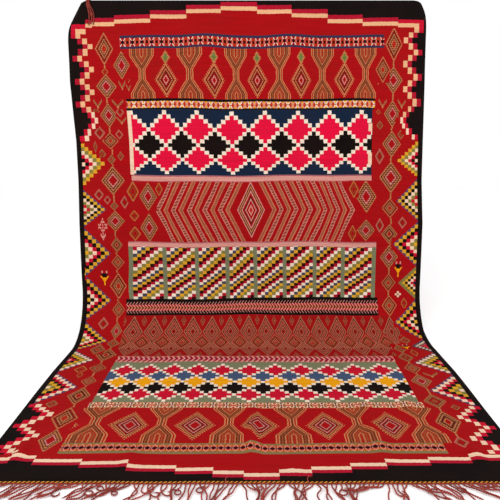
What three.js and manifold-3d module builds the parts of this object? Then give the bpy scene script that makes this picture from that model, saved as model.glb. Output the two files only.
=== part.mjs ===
// A flat-woven wool rug that hangs by its top edge and runs out over the floor.
// Millimetres, +Z up. The origin is the crest of the hung top edge, half way across.
// The patterned side looks towards -Y, and the cloth is described by two lengths:
// x across it from its centre line, and s along it from the top edge to the lower end.
import * as THREE from "three";
import { mergeVertices } from "three/addons/utils/BufferGeometryUtils.js";
import Module from "manifold-3d";

const wasm = await Module();
wasm.setup();

// Driving dimensions
const clothThickness = 3;
const clothEnd = 2617; // s of the lower end
const hungHeight = 1509; // from the crest down to the floor
const lean = THREE.MathUtils.degToRad(5.4); // the hung part's foot stands forward of its top
const crestRadius = 10; // the top edge is folded over to the back
const backDrop = 18; // straight cloth behind the crest
const bendRadius = 268; // between the hung part and the floor
const floorShift = 32; // the floor part lies a little to the right
const bandWidth = 13; // twined edging cord at each end
const bandThickness = 5;
const seam = 0.3; // between the cloth and the lower edging
const topSeam = 0.95; // between the cloth and the upper edging, which curls at its ends
const cornerBendRadius = 34; // top corners that curl backwards, fold and edging together

// Each side of the cloth wanders: distance from the centre line at each s
const sides = [
  { s: -60, left: 808, right: 807 },
  { s: 350, left: 816, right: 805 },
  { s: 620, left: 802, right: 801 },
  { s: 800, left: 803, right: 799 },
  { s: 1000, left: 809, right: 806 },
  { s: 1280, left: 811, right: 798 },
  { s: 1526, left: 801, right: 784 },
  { s: 1681, left: 796, right: 795 },
  { s: 1888, left: 802, right: 802 },
  { s: 2700, left: 800, right: 800 },
];

// Small ridges that stand up from the floor part, along the cloth
const ridges = [
  { x: -700, from: 2380, to: 2560, height: 11, halfWidth: 34 },
  { x: -368, from: 2440, to: 2590, height: 6, halfWidth: 36 },
  { x: -6, from: 2120, to: 2585, height: 17, halfWidth: 34 },
  { x: 112, from: 2470, to: 2595, height: 6, halfWidth: 36 },
  { x: 385, from: 2090, to: 2570, height: 13, halfWidth: 40 },
  { x: 536, from: 2040, to: 2290, height: 7, halfWidth: 40 },
  { x: 662, from: 2400, to: 2560, height: 9, halfWidth: 36 },
];

// Soft flutes of the hung part: depth of each, its pitch across the cloth and its start
const flutes = [
  { depth: 5, pitch: 410, start: 60 },
  { depth: 3, pitch: 235, start: -40 },
];

// A top corner curls back past a line in the hung plane, given where the line crosses
// the crest and how far down it meets the cloth's side
const corners = [
  { side: -1, atCrest: 747, atSide: 803, drop: 100 },
  { side: 1, atCrest: 785, atSide: 808, drop: 46 },
];

// Profile of the cloth's middle surface in the Y-Z plane
const crestCentreZ = -clothThickness / 2 - crestRadius;
const floorZ = -hungHeight + clothThickness / 2;
const frontTangent = {
  y: -crestRadius * Math.cos(lean),
  z: crestCentreZ + crestRadius * Math.sin(lean),
};
const straightLength =
  (frontTangent.z - floorZ - bendRadius * (1 - Math.sin(lean))) / Math.cos(lean);
const floorStartY =
  frontTangent.y - straightLength * Math.sin(lean) - bendRadius * Math.cos(lean);
const hungStart = (crestRadius * (1 - Math.sin(lean))) / Math.cos(lean);
const crestS = hungStart - crestRadius * (Math.PI / 2 - lean);
const backS = crestS - (crestRadius * Math.PI) / 2;
const backEdge = backS - backDrop;
const bendStart = hungStart + straightLength;
const floorStart = bendStart + bendRadius * (Math.PI / 2 - lean);

// The point at s, and the direction that looks out of the patterned side there
function profile(s) {
  if (s <= backS) {
    return { y: crestRadius, z: crestCentreZ - (backS - s), ny: 1, nz: 0 };
  }
  if (s <= hungStart) {
    const turn = (crestS - s) / crestRadius;
    return {
      y: crestRadius * Math.sin(turn),
      z: crestCentreZ + crestRadius * Math.cos(turn),
      ny: Math.sin(turn),
      nz: Math.cos(turn),
    };
  }
  if (s <= bendStart) {
    return {
      y: frontTangent.y - (s - hungStart) * Math.sin(lean),
      z: frontTangent.z - (s - hungStart) * Math.cos(lean),
      ny: -Math.cos(lean),
      nz: Math.sin(lean),
    };
  }
  if (s <= floorStart) {
    const turn = lean + (s - bendStart) / bendRadius;
    return {
      y: floorStartY + bendRadius * Math.cos(turn),
      z: floorZ + bendRadius * (1 - Math.sin(turn)),
      ny: -Math.cos(turn),
      nz: Math.sin(turn),
    };
  }
  return { y: floorStartY - (s - floorStart), z: floorZ, ny: 0, nz: 1 };
}

const hump = (t) => (Math.abs(t) < 1 ? Math.cos((Math.PI * t) / 2) ** 2 : 0);

// How far a ridge or flute lifts the middle surface out of the plain profile
function relief(x, s) {
  const hungShare = THREE.MathUtils.smoothstep(s, 60, 320);
  const bendShare = 1 - THREE.MathUtils.smoothstep(s, 900, 1300);
  let lift = 0;
  for (const flute of flutes) {
    const phase = (2 * Math.PI * (x - flute.start)) / flute.pitch;
    lift += flute.depth * Math.sin(phase) * hungShare * bendShare;
  }
  for (const ridge of ridges) {
    const middle = (ridge.from + ridge.to) / 2;
    const along = hump((s - middle) / ((ridge.to - ridge.from) / 2));
    lift += ridge.height * hump((x - ridge.x) / ridge.halfWidth) * along;
  }
  return lift;
}

// Curls a point round the line past which a top corner falls backwards
function curlCorner(point, corner) {
  const run = corner.atSide - corner.atCrest;
  const length = Math.hypot(run, corner.drop);
  const outX = corner.drop / length;
  const outUp = run / length;
  const down = -point.z;
  const beyond = (point.x * corner.side - corner.atCrest) * outX - down * outUp;
  const bent = beyond + cornerBendRadius;
  if (bent <= 0) return point;
  const depth = point.y + down * Math.tan(lean) + crestRadius;
  const turn = bent / cornerBendRadius;
  const radius = cornerBendRadius - depth;
  const inPlane = radius * Math.sin(turn) - bent;
  const back = cornerBendRadius - radius * Math.cos(turn) - depth;
  point.x += corner.side * inPlane * outX;
  point.z += inPlane * outUp;
  point.y += back;
  return point;
}

// Where the cloth's point (x, s) lies, off its middle surface by the given distance
function place(x, s, off) {
  const at = profile(s);
  const shift = floorShift * THREE.MathUtils.clamp(s / floorStart, 0, 1);
  const out = relief(x, s) + off;
  const point = new THREE.Vector3(x + shift, at.y + at.ny * out, at.z + at.nz * out);
  for (const corner of corners) {
    if (x * corner.side > 0 && s < 200) curlCorner(point, corner);
  }
  return point;
}

// The cloth's width at s, by straight stretches between the measured rows
function sideAt(s, side) {
  const k = Math.max(1, sides.findIndex((row) => row.s >= s));
  const low = sides[k - 1];
  const high = sides[k];
  return THREE.MathUtils.mapLinear(s, low.s, high.s, low[side], high[side]);
}

// A share from -1 to 1 across the cloth becomes a distance from its centre line
const across = (share, s) => share * sideAt(s, share < 0 ? "left" : "right");

// A closed solid through rings of points that all have the same length
function sweep(rings) {
  const count = rings[0].length;
  const positions = rings.flat().flatMap((p) => [p.x, p.y, p.z]);
  const index = [];
  for (let i = 0; i + 1 < rings.length; i += 1) {
    for (let k = 0; k < count; k += 1) {
      const next = (k + 1) % count;
      const a = i * count + k;
      const b = i * count + next;
      index.push(a, a + count, b, b, a + count, b + count);
    }
  }
  const last = (rings.length - 1) * count;
  for (let k = 1; k + 1 < count; k += 1) {
    index.push(0, k, k + 1);
    index.push(last, last + k + 1, last + k);
  }
  const geometry = new THREE.BufferGeometry();
  geometry.setAttribute("position", new THREE.Float32BufferAttribute(positions, 3));
  geometry.setIndex(index);
  return geometry;
}

// Turns a closed shell's faces round where they would point inwards
function facingOut(geometry) {
  const { position } = geometry.attributes;
  const index = Array.from(geometry.index.array);
  const corner = (i) => new THREE.Vector3().fromBufferAttribute(position, index[i]);
  let volume = 0;
  for (let i = 0; i < index.length; i += 3) {
    volume += corner(i).dot(corner(i + 1).cross(corner(i + 2)));
  }
  if (volume > 0) return geometry;
  return geometry.setIndex(index.reverse());
}

function toSolid(geometry) {
  const merged = mergeVertices(facingOut(geometry), 1e-3);
  const mesh = new wasm.Mesh({
    numProp: 3,
    vertProperties: merged.attributes.position.array,
    triVerts: new Uint32Array(merged.index.array),
  });
  return new wasm.Manifold(mesh);
}

function fromSolid(solid) {
  const mesh = solid.getMesh();
  const geometry = new THREE.BufferGeometry();
  geometry.setAttribute("position", new THREE.BufferAttribute(mesh.vertProperties, 3));
  geometry.setIndex(new THREE.BufferAttribute(mesh.triVerts, 1));
  return geometry;
}

// Even steps from one value to another, without the last
const steps = (from, to, count) =>
  Array.from({ length: count }, (_, i) => from + ((to - from) * i) / count);

const curlEnd = 140; // below this s no top corner is curled
const ridgeStart = 2060; // above this s the floor part has no ridges

// Rows of the cloth's grid: close together where it is bent, wide apart where it is plain
function clothRows() {
  return [
    backEdge,
    ...steps(backS, hungStart, 6),
    ...steps(hungStart, curlEnd, 6),
    ...steps(curlEnd, bendStart, 7),
    ...steps(bendStart, floorStart, 8),
    ...steps(floorStart, ridgeStart, 3),
    ...steps(ridgeStart, clothEnd, 8),
    clothEnd,
  ];
}

const meanHalfWidth = 800;
const leastStep = 0.035; // least distance between columns, as a share of half the width

// Columns: at every ridge's foot and crest, at the curled corners, and evenly between
function clothColumns() {
  const wanted = [-1, -0.988, -0.976, -0.963, -0.949, -0.934, 0.935, 0.96, 0.98, 1];
  for (const ridge of ridges) {
    for (const foot of [-1, 0, 1]) {
      wanted.push((ridge.x + foot * ridge.halfWidth) / meanHalfWidth);
    }
  }
  for (const share of steps(-0.84, 0.84, 16)) {
    if (wanted.every((other) => Math.abs(other - share) > leastStep)) wanted.push(share);
  }
  return wanted.sort((a, b) => a - b);
}

function wovenPanel() {
  const half = clothThickness / 2;
  const columns = clothColumns();
  const rings = clothRows().map((s) => {
    const front = columns.map((share) => place(across(share, s), s, half));
    const back = columns.map((share) => place(across(share, s), s, -half));
    return [...back, ...front.reverse()];
  });
  return closeSheet(rings, columns.length);
}

// Joins the rings of a flat sheet, whose two ends are ribbons of quads rather than fans
function closeSheet(rings, columnCount) {
  const geometry = sweep(rings);
  const count = 2 * columnCount;
  const sideFaces = (rings.length - 1) * count * 6;
  const index = Array.from(geometry.index.array).slice(0, sideFaces);
  const last = (rings.length - 1) * count;
  for (let k = 0; k + 1 < columnCount; k += 1) {
    const mate = count - 1 - k;
    index.push(k, k + 1, mate - 1, k, mate - 1, mate);
    index.push(last + k, last + mate - 1, last + k + 1);
    index.push(last + k, last + mate, last + mate - 1);
  }
  return facingOut(geometry.setIndex(index));
}

// The edging cord: a bar swept across the cloth between two rows of s
function edgingBar(fromS, toS, low, high) {
  const rings = clothColumns().map((share) => {
    const corner = (s, off) => place(across(share, s), s, off);
    return [corner(fromS, low), corner(fromS, high), corner(toS, high), corner(toS, low)];
  });
  return toSolid(sweep(rings));
}

// A strand of yarn: three sides, with the flat one at the bottom of the route's points
function strand(route, width, thickness, upwards) {
  const rings = route.map((point) => [
    point.clone().setX(point.x - width / 2),
    point.clone().addScaledVector(upwards, thickness),
    point.clone().setX(point.x + width / 2),
  ]);
  return toSolid(sweep(rings));
}

// Front fringe: strands that lie on the floor in loose bunches
const frontFringe = {
  count: 112,
  length: 116,
  width: 6,
  thickness: 4.6,
  outermost: 790,
  bunchPitch: 118,
  bunchPull: 8,
};

function frontFringeSolid() {
  const start = clothEnd + seam;
  const low = -clothThickness / 2;
  const high = low + bandThickness;
  let solid = edgingBar(start, start + bandWidth, low, high);
  const rootY = profile(start + bandWidth - 4).y;
  const pitch = (2 * frontFringe.outermost) / (frontFringe.count - 1);
  const upwards = new THREE.Vector3(0, 0, 1);
  for (let i = 0; i < frontFringe.count; i += 1) {
    const x = floorShift - frontFringe.outermost + i * pitch;
    const reach = frontFringe.length * (0.9 + 0.1 * Math.sin(i * 2.4));
    const pull = -frontFringe.bunchPull * Math.sin((2 * Math.PI * x) / frontFringe.bunchPitch);
    const drift = 5 * Math.sin(x / 170);
    const route = [0, 0.4, 0.75, 1].map((share) => {
      const bend = share * share * (3 - 2 * share);
      return new THREE.Vector3(
        x + bend * pull + share * drift,
        rootY - reach * share,
        -hungHeight,
      );
    });
    solid = solid.add(strand(route, frontFringe.width, frontFringe.thickness, upwards));
  }
  return fromSolid(solid);
}

// Top fringe: strands that hang down behind, and one lock that falls forward over the crest
const topFringe = {
  first: -730,
  last: 765,
  count: 75,
  length: 112,
  width: 6,
  thickness: 4.5,
  lockFrom: -726,
  lockTo: -690,
};
// Route of the lock: across the cloth and along it, from behind the crest to its front end
const lockRoute = [
  { x: -709, s: backEdge - 6 },
  { x: -710, s: backS },
  { x: -711, s: crestS - 8 },
  { x: -712, s: crestS },
  { x: -713, s: crestS + 8 },
  { x: -712, s: hungStart + 12 },
  { x: -704, s: 48 },
  { x: -699, s: 78 },
  { x: -702, s: 106 },
];
const lockWidth = 15;
const lockThickness = 5;
const lockClearance = 2.2;
const rootDepth = 0.5; // the hanging strands' flat side lies this far into the edging

function forwardLock() {
  const under = clothThickness / 2 + lockClearance;
  const rings = lockRoute.map((row) => {
    const corner = (side, off) => place(row.x + (side * lockWidth) / 2, row.s, off);
    return [
      corner(-1, under),
      corner(-1, under + lockThickness),
      corner(1, under + lockThickness),
      corner(1, under),
    ];
  });
  return toSolid(sweep(rings));
}

function topFringeSolid() {
  const upper = backEdge - topSeam;
  const lower = upper - bandWidth;
  const low = -clothThickness / 2;
  const high = low + bandThickness + lockClearance;
  let solid = edgingBar(lower, upper, low, high);
  const rootZ = profile(lower + 3).z;
  const y = crestRadius + low + rootDepth;
  const pitch = (topFringe.last - topFringe.first) / (topFringe.count - 1);
  const backwards = new THREE.Vector3(0, 1, 0);
  for (let i = 0; i < topFringe.count; i += 1) {
    const x = topFringe.first + i * pitch;
    if (x > topFringe.lockFrom && x < topFringe.lockTo) continue;
    const reach = topFringe.length * (0.88 + 0.12 * Math.sin(i * 1.9));
    const sway = 5 * Math.sin(x / 47);
    const route = [0, 0.5, 1].map(
      (share) => new THREE.Vector3(x + sway * share * share, y, rootZ - reach * share),
    );
    solid = solid.add(strand(route, topFringe.width, topFringe.thickness, backwards));
  }
  return fromSolid(solid.add(forwardLock()));
}

function piece(name, geometry, colour, roughness) {
  const material = new THREE.MeshStandardMaterial({ color: colour, roughness, metalness: 0 });
  const mesh = new THREE.Mesh(geometry, material);
  mesh.name = name;
  return mesh;
}

const rug = new THREE.Group();
rug.add(piece("woven_panel", wovenPanel(), 0x9e1418, 0.95));
rug.add(piece("front_fringe", frontFringeSolid(), 0x9a4038, 0.95));
rug.add(piece("top_fringe", topFringeSolid(), 0xa5482e, 0.95));

export default rug;
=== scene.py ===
import math
import random

import bpy
import numpy as np
from mathutils import Matrix


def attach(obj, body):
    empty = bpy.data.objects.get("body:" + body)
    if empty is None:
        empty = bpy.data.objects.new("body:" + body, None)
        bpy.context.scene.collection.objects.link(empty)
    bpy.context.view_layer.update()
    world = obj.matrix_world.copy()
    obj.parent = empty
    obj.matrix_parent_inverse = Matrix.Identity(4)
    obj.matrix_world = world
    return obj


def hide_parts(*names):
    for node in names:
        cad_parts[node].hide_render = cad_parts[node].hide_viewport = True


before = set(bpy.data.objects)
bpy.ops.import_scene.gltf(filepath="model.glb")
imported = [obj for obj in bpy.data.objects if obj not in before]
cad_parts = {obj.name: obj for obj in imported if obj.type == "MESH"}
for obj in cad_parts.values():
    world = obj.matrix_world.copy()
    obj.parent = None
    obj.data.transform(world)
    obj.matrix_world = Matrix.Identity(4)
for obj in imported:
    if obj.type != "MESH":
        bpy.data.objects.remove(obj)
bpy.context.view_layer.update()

# The cloth in millimetres: x across it from the centre line, s along it from the crest
lean = math.radians(5.4)
shape = {
    "thickness": 3.0,
    "half": 800.0,  # width from the centre line
    "end": 2617.0,  # s of the lower end
    "height": 1509.0,  # of the crest above the floor
    "crest": 10.0,  # radius of the fold at the top
    "backDrop": 18.0,  # straight cloth behind the crest
    "bend": 268.0,  # radius of the turn above the floor
    "shift": 32.0,  # how far the floor part lies to the right
    "curl": 34.0,  # radius of the curled corners
    "curlEnd": 200.0,  # s below which no corner curls
    "band": 13.0,  # depth of an edging
}
sideRows = [-60, 350, 620, 800, 1000, 1280, 1526, 1681, 1888, 2700]
leftSide = [808, 816, 802, 803, 809, 811, 801, 796, 802, 800]
rightSide = [807, 805, 801, 799, 806, 798, 784, 795, 802, 800]
ridges = [  # x, from, to, height, half width
    (-700, 2380, 2560, 11, 34),
    (-368, 2440, 2590, 6, 36),
    (-6, 2120, 2585, 17, 34),
    (112, 2470, 2595, 6, 36),
    (385, 2090, 2570, 13, 40),
    (536, 2040, 2290, 7, 40),
    (662, 2400, 2560, 9, 36),
]
flutes = [(5, 410, 60), (3, 235, -40)]  # depth, pitch, start
ripples = {"lift": 0.9, "across": 47, "along": 83, "sway": 1.3, "acrossSway": 190, "alongSway": 130}
corners = [(-1, 747, 803, 100), (1, 785, 808, 46)]  # side, x at the crest, x at the side, drop

crestZ = -shape["thickness"] / 2 - shape["crest"]
floorZ = -shape["height"] + shape["thickness"] / 2
frontY = -shape["crest"] * math.cos(lean)
frontZ = crestZ + shape["crest"] * math.sin(lean)
straight = (frontZ - floorZ - shape["bend"] * (1 - math.sin(lean))) / math.cos(lean)
floorStartY = frontY - straight * math.sin(lean) - shape["bend"] * math.cos(lean)
hungStart = shape["crest"] * (1 - math.sin(lean)) / math.cos(lean)
crestS = hungStart - shape["crest"] * (math.pi / 2 - lean)
backS = crestS - shape["crest"] * math.pi / 2
backEdge = backS - shape["backDrop"]
bendStart = hungStart + straight
floorStart = bendStart + shape["bend"] * (math.pi / 2 - lean)


def smoothstep(value, low, high):
    t = np.clip((value - low) / (high - low), 0, 1)
    return t * t * (3 - 2 * t)


def hump(t):
    return np.where(np.abs(t) < 1, np.cos(math.pi * t / 2) ** 2, 0)


def profile(s):
    # Middle line of the cloth in the Y-Z plane, with its outward direction
    crest = shape["crest"]
    bend = shape["bend"]
    topTurn = (crestS - s) / crest
    lowTurn = lean + (s - bendStart) / bend
    flat = 0 * s
    zones = [s <= backS, s <= hungStart, s <= bendStart, s <= floorStart]
    y = np.select(
        zones,
        [
            flat + crest,
            crest * np.sin(topTurn),
            frontY - (s - hungStart) * math.sin(lean),
            floorStartY + bend * np.cos(lowTurn),
        ],
        floorStartY - (s - floorStart),
    )
    z = np.select(
        zones,
        [
            crestZ - (backS - s),
            crestZ + crest * np.cos(topTurn),
            frontZ - (s - hungStart) * math.cos(lean),
            floorZ + bend * (1 - np.sin(lowTurn)),
        ],
        floorZ + flat,
    )
    outY = np.select(zones, [1 + flat, np.sin(topTurn), -math.cos(lean) + flat, -np.cos(lowTurn)], flat)
    outZ = np.select(zones, [flat, np.cos(topTurn), math.sin(lean) + flat, np.sin(lowTurn)], 1 + flat)
    return y, z, outY, outZ


def relief(x, s):
    # Lift of ridges and flutes, and a slight unevenness of the weave
    lift = 0 * x * s
    hung = smoothstep(s, 60, 320) * (1 - smoothstep(s, 900, 1300))
    for depth, pitch, start in flutes:
        lift = lift + depth * np.sin(2 * math.pi * (x - start) / pitch) * hung
    for middle, low, high, height, halfWidth in ridges:
        along = hump((s - (low + high) / 2) / ((high - low) / 2))
        lift = lift + height * hump((x - middle) / halfWidth) * along
    ripple = np.sin(x / ripples["across"] + np.sin(s / ripples["alongSway"]))
    ripple = ripple * np.sin(s / ripples["along"] + ripples["sway"] * np.sin(x / ripples["acrossSway"]))
    onFloor = smoothstep(s, 1500, 1800)
    return lift + smoothstep(s, 120, 260) * ripples["lift"] * (ripple + onFloor)


def curl(x, y, z, side, atCrest, atSide, drop, active):
    # Turns the cloth past a slanted line at a top corner backwards
    run = atSide - atCrest
    length = math.hypot(run, drop)
    outX = drop / length
    outUp = run / length
    down = -z
    bent = (x * side - atCrest) * outX - down * outUp + shape["curl"]
    moved = active & (bent > 0)
    depth = y + down * math.tan(lean) + shape["crest"]
    turn = bent / shape["curl"]
    radius = shape["curl"] - depth
    inPlane = radius * np.sin(turn) - bent
    x = np.where(moved, x + side * inPlane * outX, x)
    y = np.where(moved, y + shape["curl"] - radius * np.cos(turn) - depth, y)
    z = np.where(moved, z + inPlane * outUp, z)
    return x, y, z


def place(x, s, off):
    # Points of the cloth in metres, a given distance off its middle surface
    x, s, off = np.broadcast_arrays(np.asarray(x, float), np.asarray(s, float), np.asarray(off, float))
    y, z, outY, outZ = profile(s)
    out = relief(x, s) + off
    px = x + shape["shift"] * np.clip(s / floorStart, 0, 1)
    py = y + outY * out
    pz = z + outZ * out
    for side, atCrest, atSide, drop in corners:
        active = (x * side > 0) & (s < shape["curlEnd"])
        px, py, pz = curl(px, py, pz, side, atCrest, atSide, drop, active)
    return np.stack([px, py, pz], axis=-1) / 1000


def sideAt(s, side):
    return np.interp(s, sideRows, leftSide if side < 0 else rightSide)


def widthAt(x, s):
    return np.where(np.asarray(x) < 0, sideAt(s, -1), sideAt(s, 1))


def across(evenX, s):
    # Turns a place on a cloth of even width into one on the real, uneven cloth
    return evenX / shape["half"] * widthAt(evenX, s)


def nominal(x, s):
    # The other way round
    return np.asarray(x) * shape["half"] / widthAt(x, s)


def newObject(name, points, faces):
    mesh = bpy.data.meshes.new(name)
    mesh.from_pydata(points, [], faces)
    mesh.polygons.foreach_set("use_smooth", [True] * len(mesh.polygons))
    mesh.update()
    piece = bpy.data.objects.new(name, mesh)
    bpy.context.scene.collection.objects.link(piece)
    return piece


# Layout of the weave: each patch takes one material and its own measured coordinates
patches = []
columns = [-800.0, -794.0, 794.0, 800.0]
rows = [backEdge, backS, crestS, hungStart, bendStart, floorStart, shape["end"]]
# A material may hold several orders of inks, each this much further along the pattern's x
orderStep = 1000
orderStart = 300


def paint(material, left, right, top, bottom, mapX, mapS, order=0):
    # Gives the faces of a box a material; the maps are (measured, pattern) pairs
    middle = (top + bottom) / 2
    low = float(nominal(left, middle))
    high = float(nominal(right, middle))
    columns.extend([low, high])
    rows.extend([top, bottom])
    patches.append({
        "material": material,
        "x": (low, high),
        "s": (top, bottom),
        "fromX": [float(nominal(measured, middle)) for measured, _ in mapX],
        "toX": [drawn + orderStep * order for _, drawn in mapX],
        "fromS": [measured for measured, _ in mapS],
        "toS": [drawn for _, drawn in mapS],
    })


def thinned(lines, least, most):
    # Sorted grid lines, none closer than the least step and none wider than the most
    kept = []
    for line in sorted(lines):
        if not kept or line - kept[-1] >= least:
            kept.append(line)
    kept[-1] = max(lines)
    filled = [kept[0]]
    for line in kept[1:]:
        start = filled[-1]
        count = max(1, math.ceil((line - start) / most))
        filled.extend(start + (line - start) * k / count for k in range(1, count + 1))
    return filled


def extended(values, known, wanted):
    # Straight stretches between known pairs, carried on past both ends
    if len(known) == 1:
        return wanted[0] + (values - known[0])
    result = np.interp(values, known, wanted)
    first = (wanted[1] - wanted[0]) / (known[1] - known[0])
    last = (wanted[-1] - wanted[-2]) / (known[-1] - known[-2])
    result = np.where(values < known[0], wanted[0] + (values - known[0]) * first, result)
    return np.where(values > known[-1], wanted[-1] + (values - known[-1]) * last, result)


sways = [(2.2, 148, 310), (1.4, 61, -190)]  # height, length across, length along
rises = [(9, -190, 150), (11, 178, 150), (3, 560, 120)]  # height, middle x, half width


def drift(x, s):
    # How far the woven rows sway up or down the cloth, as handwork does
    sway = sum(height * np.sin(x / wide + s / tall) for height, wide, tall in sways)
    rise = sum(height * hump((x - middle) / half) for height, middle, half in rises)
    near = hump((s - 178) / 210)
    inside = smoothstep(s, -8, 90) * (1 - smoothstep(s, 2430, 2600))
    lower = 4 - 3 * smoothstep(s, 200, 800) + 3 * smoothstep(s, 1620, 1820)
    slope = 9 * smoothstep(x, -250, 450) * smoothstep(s, 1130, 1350) * (1 - smoothstep(s, 1375, 1440))
    return (sway + lower - rise * near - slope) * inside


pull = {"narrowed": 0.0035, "out": 7, "x": -575, "halfX": 90, "s": 1310, "halfS": 130}


def drawnIn(x, s):
    # The cloth is a little narrower near its lower end, and pulls out at the left of the checks
    narrowed = across(x, s) * (1 - pull["narrowed"] * smoothstep(s, 1900, 2300))
    bulge = hump((x - pull["x"]) / pull["halfX"]) * hump((s - pull["s"]) / pull["halfS"])
    return narrowed - pull["out"] * bulge


clothGrid = {
    "columnSteps": (4, 20),  # least and most between two lines
    "rowSteps": (3.4, 20),
    "cornerStep": 7.5,  # closer lines where the corners curl
    "cornerLines": 14,
    "foldLines": 11,
    "rounded": 3.0,  # width and depth of the rounding at a selvedge
    "rounding": 0.5,
}


def gridLines():
    half = shape["half"]
    inward = clothGrid["cornerStep"] * np.arange(clothGrid["cornerLines"])
    columnLines = thinned([line for line in columns if abs(line) <= half], *clothGrid["columnSteps"])
    columnLines = thinned([*columnLines, *(inward - half), *(half - inward)], *clothGrid["columnSteps"])
    fold = np.linspace(backS, hungStart, clothGrid["foldLines"])
    kept = [line for line in [*rows, *fold] if backEdge <= line <= shape["end"]]
    rowLines = thinned(kept, *clothGrid["rowSteps"])
    return np.meshgrid(columnLines, rowLines)


def clothFaces(rowCount, columnCount):
    # Quads of the front, of the back and of the rim between them
    offset = rowCount * columnCount
    i, k = np.meshgrid(np.arange(rowCount - 1), np.arange(columnCount - 1), indexing="ij")
    a = (i * columnCount + k).ravel()
    b = a + 1
    c = b + columnCount
    d = a + columnCount
    front = np.stack([a, d, c, b], axis=1)
    back = np.stack([a, b, c, d], axis=1) + offset
    rim = []
    for top in range(columnCount - 1):
        low = (rowCount - 1) * columnCount + top
        rim.append((top, top + 1, offset + top + 1, offset + top))
        rim.append((low + 1, low, offset + low, offset + low + 1))
    for left in range(0, (rowCount - 1) * columnCount, columnCount):
        right = left + columnCount - 1
        rim.append((left + columnCount, left, offset + left, offset + left + columnCount))
        rim.append((right, right + columnCount, offset + right + columnCount, offset + right))
    return np.concatenate([front, back, np.array(rim)])


def layPattern(mesh, faces, x, s, materials):
    # Coordinates on the whole cloth and within each patch, and the patch's material
    loopX = np.tile(x.ravel(), 2)[faces.ravel()]
    loopS = np.tile(s.ravel(), 2)[faces.ravel()]
    centreX = loopX.reshape(-1, 4).mean(axis=1)
    centreS = loopS.reshape(-1, 4).mean(axis=1)
    owner = np.full(len(faces), -1)
    for index, patch in enumerate(patches):
        inX = (centreX >= patch["x"][0]) & (centreX < patch["x"][1])
        inS = (centreS >= patch["s"][0]) & (centreS < patch["s"][1])
        owner[inX & inS] = index
    motifX = loopX.copy()
    motifS = loopS.copy()
    slots = np.zeros(len(faces), dtype=int)
    names = ["ground"]
    for index, patch in enumerate(patches):
        chosen = owner == index
        if patch["material"] not in names:
            names.append(patch["material"])
        slots[chosen] = names.index(patch["material"])
        picked = np.repeat(chosen, 4)
        motifX[picked] = extended(loopX[picked], patch["fromX"], patch["toX"])
        motifS[picked] = extended(loopS[picked], patch["fromS"], patch["toS"])
    for name, along, down in (("cloth", loopX, loopS), ("motif", motifX, motifS)):
        layer = mesh.uv_layers.new(name=name)
        layer.data.foreach_set("uv", (np.stack([along, down], axis=1) / 1000).ravel())
    for name in names:
        mesh.materials.append(materials[name])
    mesh.polygons.foreach_set("material_index", slots)
    mesh.update()


def buildCloth(materials):
    x, s = gridLines()
    half = shape["thickness"] / 2
    inward = shape["half"] - clothGrid["rounded"]
    edgeDrop = np.clip((np.abs(x) - inward) / clothGrid["rounded"], 0, 1) * clothGrid["rounding"]
    realX = drawnIn(x, s)
    realS = s + drift(x, s)
    front = place(realX, realS, half - edgeDrop).reshape(-1, 3)
    back = place(realX, realS, -half + edgeDrop).reshape(-1, 3)
    faces = clothFaces(*s.shape)
    piece = newObject("woven_cloth", np.concatenate([front, back]).tolist(), faces.tolist())
    layPattern(piece.data, faces, x, s, materials)
    print("cloth", s.shape, len(faces), "faces", len(piece.data.materials), "materials")
    return piece


def sideways(route):
    # Two directions at right angles to a route and to each other
    along = np.gradient(route, axis=0)
    along /= np.linalg.norm(along, axis=1)[:, None] + 1e-12
    upright = abs(along[:, 2]).mean() > 0.8
    first = np.cross(along, [0.0, 1.0, 0.0] if upright else [0.0, 0.0, 1.0])
    first /= np.linalg.norm(first, axis=1)[:, None] + 1e-12
    return first, np.cross(first, along)


yarn = {
    "sides": 5,
    "turn": 0.95,  # radius at which the plies wind, as a share of their own
    "pitch": 0.013,
    "taper": 0.008,  # length that narrows to the tip
    "tip": 0.45,
    "plyTones": (0.92, 1.0),
}


class Strands:
    # Gathers the tubes of one piece, with a material for each face and a tone for each point
    def __init__(self):
        self.points = []
        self.faces = []
        self.kinds = []
        self.tones = []

    def tube(self, route, radius, sides, kind, tone):
        # The radius may be one for each point of the route
        first, second = sideways(route)
        radii = np.broadcast_to(radius, (len(route),))
        base = len(self.points)
        for middle, side, lift, r in zip(route, first, second, radii):
            for k in range(sides):
                turn = 2 * math.pi * k / sides
                self.points.append(tuple(middle + r * (math.cos(turn) * side + math.sin(turn) * lift)))
        last = base + (len(route) - 1) * sides
        for ring in range(base, last, sides):
            for k in range(sides):
                low = ring + k
                high = ring + (k + 1) % sides
                self.faces.append((low, high, high + sides, low + sides))
        self.faces.append(tuple(base + k for k in reversed(range(sides))))
        self.faces.append(tuple(last + k for k in range(sides)))
        self.kinds.extend([kind] * ((len(route) - 1) * sides + 2))
        self.tones.extend([tone] * (len(route) * sides))

    def twisted(self, route, plyRadius, turnRadius, pitch, tone):
        # Two plies wound round each other along a route of points in metres
        steps = np.linalg.norm(np.diff(route, axis=0), axis=1)
        travelled = np.concatenate([[0], np.cumsum(steps)])
        taper = np.clip((travelled[-1] - travelled) / yarn["taper"], yarn["tip"], 1)
        first, second = sideways(route)
        for ply, plyTone in enumerate(yarn["plyTones"]):
            turn = 2 * math.pi * (travelled / pitch + ply / len(yarn["plyTones"]))
            offset = np.cos(turn)[:, None] * first + np.sin(turn)[:, None] * second
            self.tube(route + turnRadius * offset, plyRadius * taper, yarn["sides"], 0, tone * plyTone)

    def build(self, name, materials):
        piece = newObject(name, self.points, self.faces)
        for material in materials:
            piece.data.materials.append(material)
        piece.data.polygons.foreach_set("material_index", self.kinds)
        tone = piece.data.attributes.new("tone", "FLOAT", "POINT")
        tone.data.foreach_set("value", self.tones)
        return piece


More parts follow.
